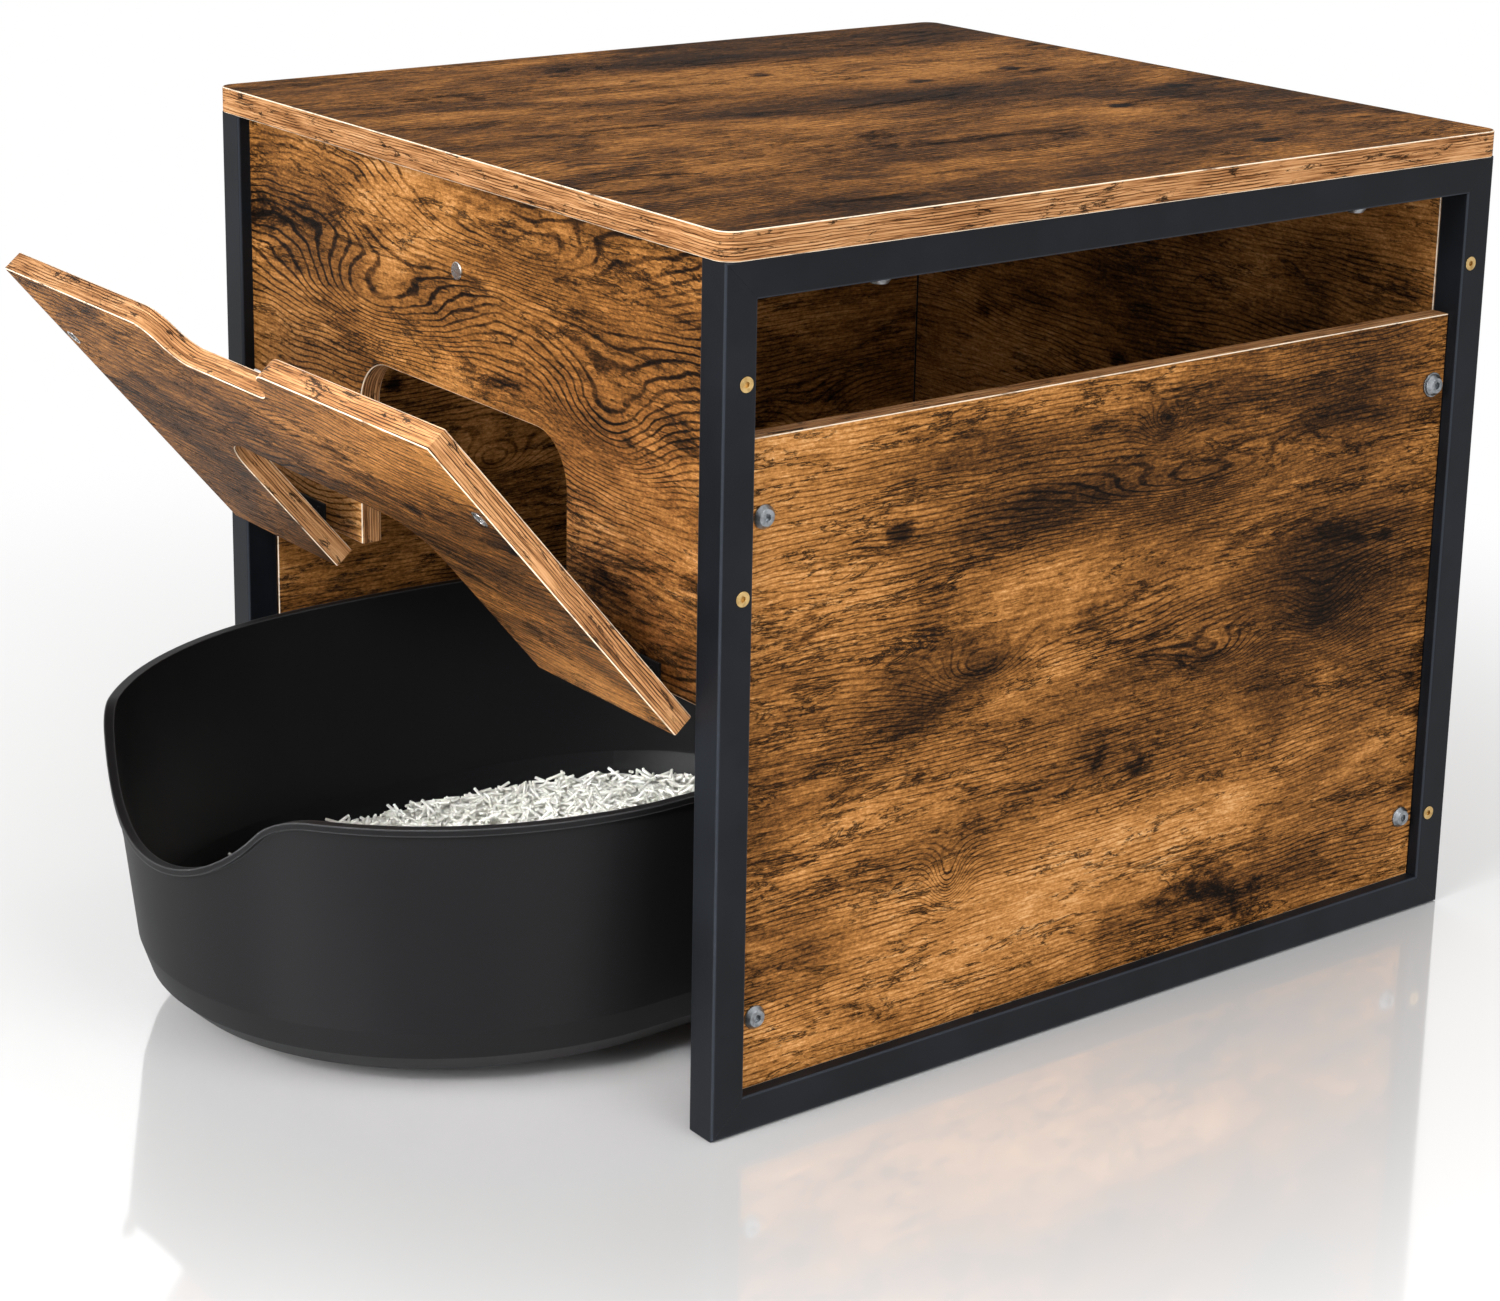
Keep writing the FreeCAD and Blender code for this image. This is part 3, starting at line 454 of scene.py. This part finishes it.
# %% Knots and clouds
SIDE_KNOTS = [Patch(-0.007, 0.217, 0.03, 0.016, 0.5), Patch(0.05, 0.214, 0.13, 0.03, 0.1),
              Patch(0.253, 0.202, 0.03, 0.024, 0.7), Patch(0.123, 0.334, 0.014, 0.010, 0.8),
              Patch(-0.022, 0.102, 0.012, 0.018, 0.6), Patch(0.167, 0.192, 0.04, 0.014, 0.6),
              Patch(0.15, 0.298, 0.09, 0.012, 0.3)]
SIDE_CLOUDS = [Patch(0.08, 0.30, 0.11, 0.025, 0.5), Patch(0.25, 0.225, 0.06, 0.05, 0.5),
               Patch(-0.045, 0.205, 0.06, 0.03, 0.45), Patch(0.02, 0.335, 0.14, 0.016, 0.4),
               Patch(0.27, 0.32, 0.05, 0.03, 0.4), Patch(-0.12, 0.09, 0.03, 0.03, 0.35),
               Patch(0.12, 0.09, 0.12, 0.03, -0.1), Patch(0.2, 0.05, 0.1, 0.012, 0.2),
               Patch(0.05, 0.14, 0.09, 0.02, 0.2)]
TOP_KNOTS = [Patch(-0.14, 0.05, 0.05, 0.03, 0.4), Patch(0.2, -0.12, 0.05, 0.02, 0.6)]
TOP_CLOUDS = [Patch(0.02, -0.02, 0.07, 0.03, 0.35), Patch(0.16, -0.01, 0.09, 0.03, 0.4),
              Patch(0.29, 0.06, 0.06, 0.04, 0.3), Patch(-0.1, 0.15, 0.07, 0.03, 0.25),
              Patch(0.1, -0.2, 0.1, 0.025, 0.2)]
FRONT_KNOTS = [Patch(0.142, 0.352, 0.05, 0.03, 0.6), Patch(-0.09, 0.372, 0.09, 0.025, 0.3),
               Patch(0.05, 0.43, 0.1, 0.02, 0.1)]
LEFT_KNOTS = SIDE_KNOTS[:3]             # the far board shares only the largest

# %% [markdown]
# The top board is the dullest: at the low angle of the photograph even a faint gloss would lay a
# grey veil over it. The front board has the widest and darkest growth lines.

# %% Finishes of the boards
FINISHES = {
    "top_board": board_finish(
        "top_board_foil", BACK, RIGHT, UP, seed=2.0, tone=0.45, spacing=0.0034, swirl=0.9,
        knots=TOP_KNOTS, clouds=TOP_CLOUDS, gloss=0.006),
    "right_side_board": board_finish(
        "side_board_foil", BACK, UP, RIGHT, seed=5.0, tone=0.60, spacing=0.0029, swirl=0.7,
        knots=SIDE_KNOTS, clouds=SIDE_CLOUDS),
    "left_side_board": board_finish(
        "left_board_foil", BACK, UP, RIGHT, seed=9.0, tone=0.60, spacing=0.0029, swirl=0.7,
        knots=LEFT_KNOTS),
    "front_board": board_finish(
        "front_board_foil", RIGHT, UP, BACK, seed=13.0, tone=0.66, spacing=0.0046, swirl=1.1,
        knots=FRONT_KNOTS, line_weight=0.42),
    "rear_board": board_finish(
        "rear_board_foil", RIGHT, UP, BACK, seed=17.0, tone=0.54, spacing=0.0036, swirl=1.0),
    "door_board": board_finish(
        "door_board_foil", RIGHT, DOOR_DOWN, DOOR_OUT, seed=21.0, tone=0.46, spacing=0.0042,
        swirl=1.2, line_weight=0.32),
}
print("boards", len(FINISHES))

# %% [markdown]
# The tubes are powder coated: near black, satin, with the faint orange peel of baked powder. A
# fine lighter line is painted down each rounded corner of the tube, as a highlight. The corners
# are found by the surface's direction: its three parts, squared and squared again, add up to 1 on
# a flat that lies square to an axis and to less on a corner.

# %% Powder coat
PEEL_PER_METRE = 900
PEEL_RELIEF = 0.00006                   # metres
TUBE_ROUNDING = 0.0008                  # metres, for the edges that the model leaves sharp
DUSTY = 1.7                             # how much lighter the coat is where dust lies
CORNER_HIGHLIGHT = 4.5                            # how much lighter the rounded corners are painted, as a highlight


def lighter(colour, times):
    return tuple(channel * times for channel in colour)


def eased_corners(finish):
    squared = finish.node("ShaderNodeVectorMath", {"operation": "MULTIPLY"},
                          {0: finish.facing, 1: finish.facing})
    return 1 - finish.step(along(finish, squared, squared), 0.62, 0.96)


def powder_coat(name, colour, roughness):
    finish = Finish(name, Specular_IOR_Level=0.12)
    peel = finish.noise(finish.place, PEEL_PER_METRE, detail=2.0)
    dust = finish.noise(finish.place, 14, detail=5.0, roughness=0.6)
    coat = finish.mix(finish.step(dust, 0.35, 0.75), colour, lighter(colour, DUSTY))
    return finish.paint(
        # the rounded corners are painted lighter, as a highlight
        Base_Color=finish.mix(eased_corners(finish) * 0.9, coat, lighter(colour, CORNER_HIGHLIGHT)),
        Roughness=roughness + dust * 0.14,
        Normal=finish.bump(peel, PEEL_RELIEF, TUBE_ROUNDING))


FRAME_COAT = powder_coat("frame_coat", (0.0056, 0.0066, 0.0086), 0.36)
HINGE_COAT = powder_coat("hinge_coat", (0.018, 0.018, 0.019), 0.3)

# %% [markdown]
# Bolts, washers, nuts and angles are zinc plated steel, a little blue-grey and dulled unevenly.
# The post screws are yellow passivated, and the magnet cups are bright nickel. One recipe serves
# all four, with two colours and a roughness.

# %% Plated steel
SCRATCHES_PER_METRE = 1900
SCRATCH_RELIEF = 0.00002                # metres
HEAD_ROUNDING = 0.0004                  # metres


def plated(name, light, dull, roughness):
    finish = Finish(name, Metallic=1.0)
    cloud = finish.noise(finish.place, 260, roughness=0.6)
    scratch = finish.noise(finish.place, SCRATCHES_PER_METRE, detail=3.0, roughness=0.7)
    return finish.paint(
        Base_Color=finish.mix(finish.step(cloud, 0.3, 0.7), light, dull),
        Roughness=roughness + cloud * 0.2,
        Normal=finish.bump(scratch, SCRATCH_RELIEF, HEAD_ROUNDING))


ZINC = plated("zinc_plate", (0.36, 0.38, 0.40), (0.16, 0.17, 0.18), 0.22)
ANGLE_STEEL = plated("angle_plate", (0.2, 0.205, 0.21), (0.12, 0.125, 0.13), 0.42)
BRASS = plated("yellow_plate", (0.66, 0.46, 0.2), (0.42, 0.27, 0.1), 0.26)
NICKEL = plated("nickel_plate", (0.72, 0.72, 0.71), (0.5, 0.5, 0.5), 0.16)

# %% [markdown]
# The closing magnets are dark sintered discs at the bottom of their cups, with a fine grit.

# %% Magnet
def magnet_finish():
    finish = Finish("sintered_magnet", Metallic=0.6)
    grit = finish.noise(finish.place, 1200, detail=3.0, roughness=0.6)
    return finish.paint(
        Base_Color=finish.mix(grit, (0.03, 0.03, 0.032), (0.12, 0.12, 0.125)),
        Roughness=0.4 + grit * 0.2, Normal=finish.bump(grit, 0.00005))


# %% [markdown]
# The pan is moulded charcoal plastic with a fine spark texture: soft broad highlights, no mirror.
# Its rolled rim is painted with one thin lighter line, a painted highlight. A Bevel node finds
# the rim, because the normal that it eases differs from the plain one only near sharp edges.

# %% Pan plastic
PAN_DARK = (0.0046, 0.0046, 0.0051)
PAN_LIGHT = (0.0076, 0.0076, 0.0085)
RIM_HIGHLIGHT_COLOUR = (0.09, 0.09, 0.092)
RIM_WIDTH = 0.002                       # metres
RIM_ROUNDING = 0.0012
SPARK_PER_METRE = 1300


def sharp_edges(finish, radius, low=0.75, high=0.975):
    """1 along the sharp edges of a solid, 0 away from them."""
    eased = finish.node("ShaderNodeBevel", {"samples": 6}, {"Radius": radius})
    plain = finish.node("ShaderNodeNewGeometry", {}, {}, "Normal")
    return 1 - finish.step(along(finish, eased, plain), low, high)


def pan_finish():
    finish = Finish("pan_plastic", Specular_IOR_Level=0.13)
    spark = finish.noise(finish.place, SPARK_PER_METRE, detail=3.0, roughness=0.6)
    haze = finish.noise(finish.place, 9, detail=5.0, roughness=0.6)
    skin = finish.mix(haze, PAN_DARK, PAN_LIGHT)
    return finish.paint(
        # a thin painted highlight along the sharp edges of the rim
        Base_Color=finish.mix(sharp_edges(finish, RIM_WIDTH) * 0.85, skin, RIM_HIGHLIGHT_COLOUR),
        Roughness=0.42 + haze * 0.12, Normal=finish.bump(spark, 0.00005, RIM_ROUNDING))


# %% [markdown]
# The litter is a bed of short pressed pellets, pale grey with a warm cast. The bed itself keeps
# the CAD solid under a rough ground of crumbs. The pellets on top are real geometry, and each
# gets its own tone from Random Per Island, which gives one number to every loose part of a mesh.

# %% Litter colours
PELLET_STOPS = [(0.0, (0.62, 0.61, 0.54)), (0.4, (0.86, 0.85, 0.79)), (1.0, (0.98, 0.975, 0.94))]
CRUMBS_PER_METRE = 420.0
CRUMB_RELIEF = 0.0012                   # metres


def litter_bed_finish():
    finish = Finish("litter_crumbs", Specular_IOR_Level=0.2)
    crumb = finish.cells(finish.place, CRUMBS_PER_METRE)
    tone = finish.noise(finish.place, 120, detail=3.0, roughness=0.6)
    return finish.paint(
        # the gaps between the crumbs are painted darker, as shade
        Base_Color=finish.ramp(tone * 1.2 - crumb * 0.3, PELLET_STOPS),
        Roughness=0.85 + tone * 0.1, Normal=finish.bump(1 - crumb, CRUMB_RELIEF))


def pellet_finish():
    finish = Finish("pellet", Specular_IOR_Level=0.2)
    each = finish.node("ShaderNodeNewGeometry", {}, {}, "Random Per Island")
    grit = finish.noise(finish.place, 2600, detail=3.0, roughness=0.6)
    return finish.paint(
        Base_Color=finish.ramp(each * 0.8 + grit * 0.3, PELLET_STOPS),
        Roughness=0.75 + grit * 0.2, Normal=finish.bump(grit, 0.0002))


# %% [markdown]
# Each node of the model now gets its finish in its only material slot. The model's objects are
# never moved and their meshes never changed.

# %% Give each node its finish
TUBES = [f"{side}_{tube}" for side in ("right", "left")
         for tube in ("front_post", "rear_post", "top_rail", "bottom_rail")]
SHARED_FINISHES = [
    (FRAME_COAT, TUBES),
    (HINGE_COAT, ["fixed_hinge_leaves", "fixed_hinge_screws", "hinge_pins",
                  "door_hinge_leaves", "door_hinge_screws"]),
    (ZINC, ["right_panel_bolts", "left_panel_bolts", "panel_bolt_washers", "panel_bolt_nuts",
            "bracket_screws", "top_board_bolts"]),
    (ANGLE_STEEL, ["corner_brackets", "door_strike_brackets"]),
    (NICKEL, ["hold_open_magnet", "door_hold_catch", "door_magnet_cups"]),
    (BRASS, ["post_screws"]),
    (magnet_finish(), ["door_magnets"]),
    (pan_finish(), ["litter_pan"]),
    (litter_bed_finish(), ["litter_fill"]),
]
for material, names in SHARED_FINISHES:
    FINISHES.update(dict.fromkeys(names, material))
for name, node in nodes.items():
    node.data.materials.clear()
    node.data.materials.append(FINISHES[name])
print("finished nodes", len(nodes))

# %% [markdown]
# The pellets lie on the bed, so the bed's form is needed as a rule: its plan, round in front and
# squarer behind, is two halves of a rounded outline, and its top is a low crown that falls to the
# wall.

# %% Form of the bed
bed_low, bed_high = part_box("litter_fill")
BED_FRONT_POWER = 2.0                   # 2 is an ellipse, more is squarer
BED_REAR_POWER = 3.2
BED_WIDEST = 0.424                      # share of the bed's length from its front
BED_EDGE = 0.028                        # metres from the floor to the bed at the wall


def bed_reach(x, y):
    """0 in the middle of the bed, 1 at its edge."""
    middle_y = bed_low.y + (bed_high.y - bed_low.y) * BED_WIDEST
    in_front = y < middle_y
    half_length = (middle_y - bed_low.y) if in_front else (bed_high.y - middle_y)
    power = BED_FRONT_POWER if in_front else BED_REAR_POWER
    sideways = abs(x) / bed_high.x
    lengthwise = abs(y - middle_y) / half_length
    return (sideways ** power + lengthwise ** power) ** (1 / power)


def bed_level(x, y):
    return BED_EDGE + (bed_high.z - BED_EDGE) * max(0.0, 1 - bed_reach(x, y) ** 2)


print("bed", round(bed_high.x - bed_low.x, 3), "m wide,", round(bed_high.z, 3), "m high")

# %% [markdown]
# Each pellet is a six-sided rod whose ends are snapped off at a slant. Thousands of them lie at
# all angles, so they are written as plain corner and face lists into one mesh, which is far
# quicker than adding objects.

# %% One pellet
PELLET_RADIUS = 0.0009
PELLET_SIDES = 6
PELLET_SNAP = 0.3                       # slant of an end, in radii


def pellet_corners(middle, heading, tilt, length, rng):
    forward = Vector((math.cos(heading) * math.cos(tilt), math.sin(heading) * math.cos(tilt),
                      math.sin(tilt)))
    side = forward.cross(UP).normalized()
    top = side.cross(forward)
    corners = []
    for end in (-0.5, 0.5):
        snap = rng.uniform(-PELLET_SNAP, PELLET_SNAP)
        for i in range(PELLET_SIDES):
            angle = 2 * math.pi * i / PELLET_SIDES
            out = side * math.cos(angle) + top * math.sin(angle)
            slant = forward * (PELLET_RADIUS * snap * math.cos(angle))
            corners.append(middle + forward * (length * end) + out * PELLET_RADIUS + slant)
    return corners


def pellet_faces(first):
    near = [first + i for i in range(PELLET_SIDES)]
    far = [first + PELLET_SIDES + i for i in range(PELLET_SIDES)]
    faces = [tuple(reversed(near)), tuple(far)]
    for i in range(PELLET_SIDES):
        after = (i + 1) % PELLET_SIDES
        faces.append((near[i], near[after], far[after], far[i]))
    return faces


# %% [markdown]
# Pellets are strewn at random over the bed, from a fixed seed so that every run gives the same
# heap. One is kept only where both its ends lie inside the bed's plan. A steep pellet is lifted by
# half its height, so that it leans on the bed and doesn't stab through it.

# %% Strew the pellets
PELLETS = 9000
PELLET_SEED = 7
PELLET_LENGTH = (0.005, 0.013)
PELLET_TILT = 0.3                       # radians, spread round lying flat
PELLET_LIFT = (-0.0005, 0.0048)         # metres over the bed
BED_LIMIT = 0.985                       # no pellet's end lies further out than this


def pellet_ends(x, y, length, heading):
    reach_x = length / 2 * math.cos(heading)
    reach_y = length / 2 * math.sin(heading)
    return [(x + side * reach_x, y + side * reach_y) for side in (-1, 1)]


def strew_pellets():
    rng = random.Random(PELLET_SEED)
    corners, faces = [], []
    while len(corners) < PELLETS * 2 * PELLET_SIDES:
        x = rng.uniform(bed_low.x, bed_high.x)
        y = rng.uniform(bed_low.y, bed_high.y)
        length = rng.uniform(*PELLET_LENGTH)
        heading = rng.uniform(0, math.pi)
        tilt = rng.gauss(0, PELLET_TILT)
        if max(bed_reach(*end) for end in pellet_ends(x, y, length, heading)) > BED_LIMIT:
            continue
        lift = rng.uniform(*PELLET_LIFT) + abs(math.sin(tilt)) * length / 2
        middle = Vector((x, y, bed_level(x, y) + lift))
        faces += pellet_faces(len(corners))
        corners += pellet_corners(middle, heading, tilt, length, rng)
    return corners, faces


mesh = bpy.data.meshes.new("litter_pellets")
pellet_places, pellet_sides = strew_pellets()
mesh.from_pydata(pellet_places, [], pellet_sides)
mesh.validate()
mesh.materials.append(pellet_finish())
pellets = show(bpy.data.objects.new("litter_pellets", mesh))
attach(pellets, "pan")
print("pellets", PELLETS, "with", len(mesh.polygons), "faces")

# %% [markdown]
# The object stands on a plain white studio floor. Near the object the floor is polished and
# mirrors it faintly, and the polish fades out. Further off, the camera alone sees pure white,
# through Is Camera Ray, so no extra light falls on the boards.

# %% Floor
FLOOR_HALF = 7.0                        # metres from the middle to its side
FLOOR_LEVEL = -0.0005                   # just under the feet, so that no two surfaces coincide
WHITE_FROM = (0.46, 1.1)                # metres from the middle: plain floor, then pure white
MIRROR_FROM = (0.36, 0.75)              # and where its polish fades out
MIRROR_SHARE = 0.36


def floor_finish():
    finish = Finish("studio_floor", IOR=1.42)
    tone = finish.noise(finish.place, 2.0, detail=2.0)
    finish.paint(Base_Color=finish.ramp(tone, [(0.0, (0.84,) * 3), (1.0, (0.88,) * 3)]),
                 Roughness=0.08 + tone * 0.05)
    far = length_of(finish, finish.place)
    polish = finish.node("ShaderNodeBsdfAnisotropic", {}, {"Roughness": 0.06})
    polished = finish.node("ShaderNodeMixShader", {}, {
        0: (1 - finish.step(far, *MIRROR_FROM)) * MIRROR_SHARE,
        1: finish.there("Principled BSDF"), 2: polish})
    seen = finish.node("ShaderNodeLightPath", {}, {}, "Is Camera Ray")
    white = finish.node("ShaderNodeEmission", {}, {"Strength": 1.0})
    floor_light = finish.node("ShaderNodeMixShader", {}, {
        0: finish.step(far, *WHITE_FROM) * seen, 1: polished, 2: white})
    finish.feed(finish.tree.nodes["Material Output"].inputs[0], floor_light)
    return finish.material


floor_corners = [(x * FLOOR_HALF, y * FLOOR_HALF, FLOOR_LEVEL)
                 for x, y in ((-1, -1), (1, -1), (1, 1), (-1, 1))]
floor_mesh = bpy.data.meshes.new("floor")
floor_mesh.from_pydata(floor_corners, [], [(0, 1, 2, 3)])
floor_mesh.materials.append(floor_finish())
floor = show(bpy.data.objects.new("floor", floor_mesh))
print("floor", 2 * FLOOR_HALF, "m wide")

# %% [markdown]
# The surround is white where the camera or a mirror looks at it, and dimmer as a light, so that
# it fills the shadows only softly.

# %% Surround
SURROUND_LIGHT = 0.5
world = bpy.data.worlds.new("surround")
world.use_nodes = True
bpy.context.scene.world = world
sky = Nodes(world.node_tree)
sky.tree.nodes.remove(sky.tree.nodes["Background"])
WHITE = (1, 1, 1, 1)
dim = sky.node("ShaderNodeBackground", {}, {"Color": WHITE, "Strength": SURROUND_LIGHT})
bright = sky.node("ShaderNodeBackground", {}, {"Color": WHITE, "Strength": 1.0})
by_camera = sky.node("ShaderNodeLightPath", {}, {}, "Is Camera Ray")
by_mirror = sky.node("ShaderNodeLightPath", {}, {}, "Is Glossy Ray")
looked_at = sky.node("ShaderNodeMath", {"operation": "MAXIMUM"}, {0: by_camera, 1: by_mirror})
join = sky.node("ShaderNodeMixShader", {}, {0: looked_at, 1: dim, 2: bright})
sky.feed(sky.tree.nodes["World Output"].inputs[0], join)
print("surround", SURROUND_LIGHT)

# %% [markdown]
# Four soft area lamps give the light of a photo studio: a key in front, one at the side, one
# overhead and a low one that reaches under the door. The fifth is weak and narrow, and only
# brings the litter, shaded by the pan and the door, up to its own colour.

# %% Lamps
Lamp = namedtuple("Lamp", "name place watts size aim spread")
MIDDLE = (0, 0, 0.25)
WIDE = 180                              # degrees, as a plain soft box
LAMPS = [Lamp("key", (0.5, -2.6, 1.9), 62, 1.6, MIDDLE, WIDE),
         Lamp("side", (2.7, 0.2, 1.6), 42, 1.8, MIDDLE, WIDE),
         Lamp("overhead", (-0.4, 0.6, 2.8), 16, 2.0, MIDDLE, WIDE),
         Lamp("low_front", (0.3, -2.4, 0.9), 24, 0.6, MIDDLE, WIDE),
         Lamp("into_pan", (0.62, -1.25, 0.95), 0.3, 0.3, (0.02, -0.10, 0.06), 12)]


def hang(lamp):
    light = bpy.data.lights.new(lamp.name, "AREA")
    light.energy = lamp.watts
    light.size = lamp.size
    light.spread = math.radians(lamp.spread)
    body = show(bpy.data.objects.new(lamp.name, light))
    body.location = lamp.place
    aim = Vector(lamp.aim) - body.location
    body.rotation_euler = aim.to_track_quat("-Z", "Y").to_euler()


for lamp in LAMPS:
    hang(lamp)
print("lamps", len(LAMPS))
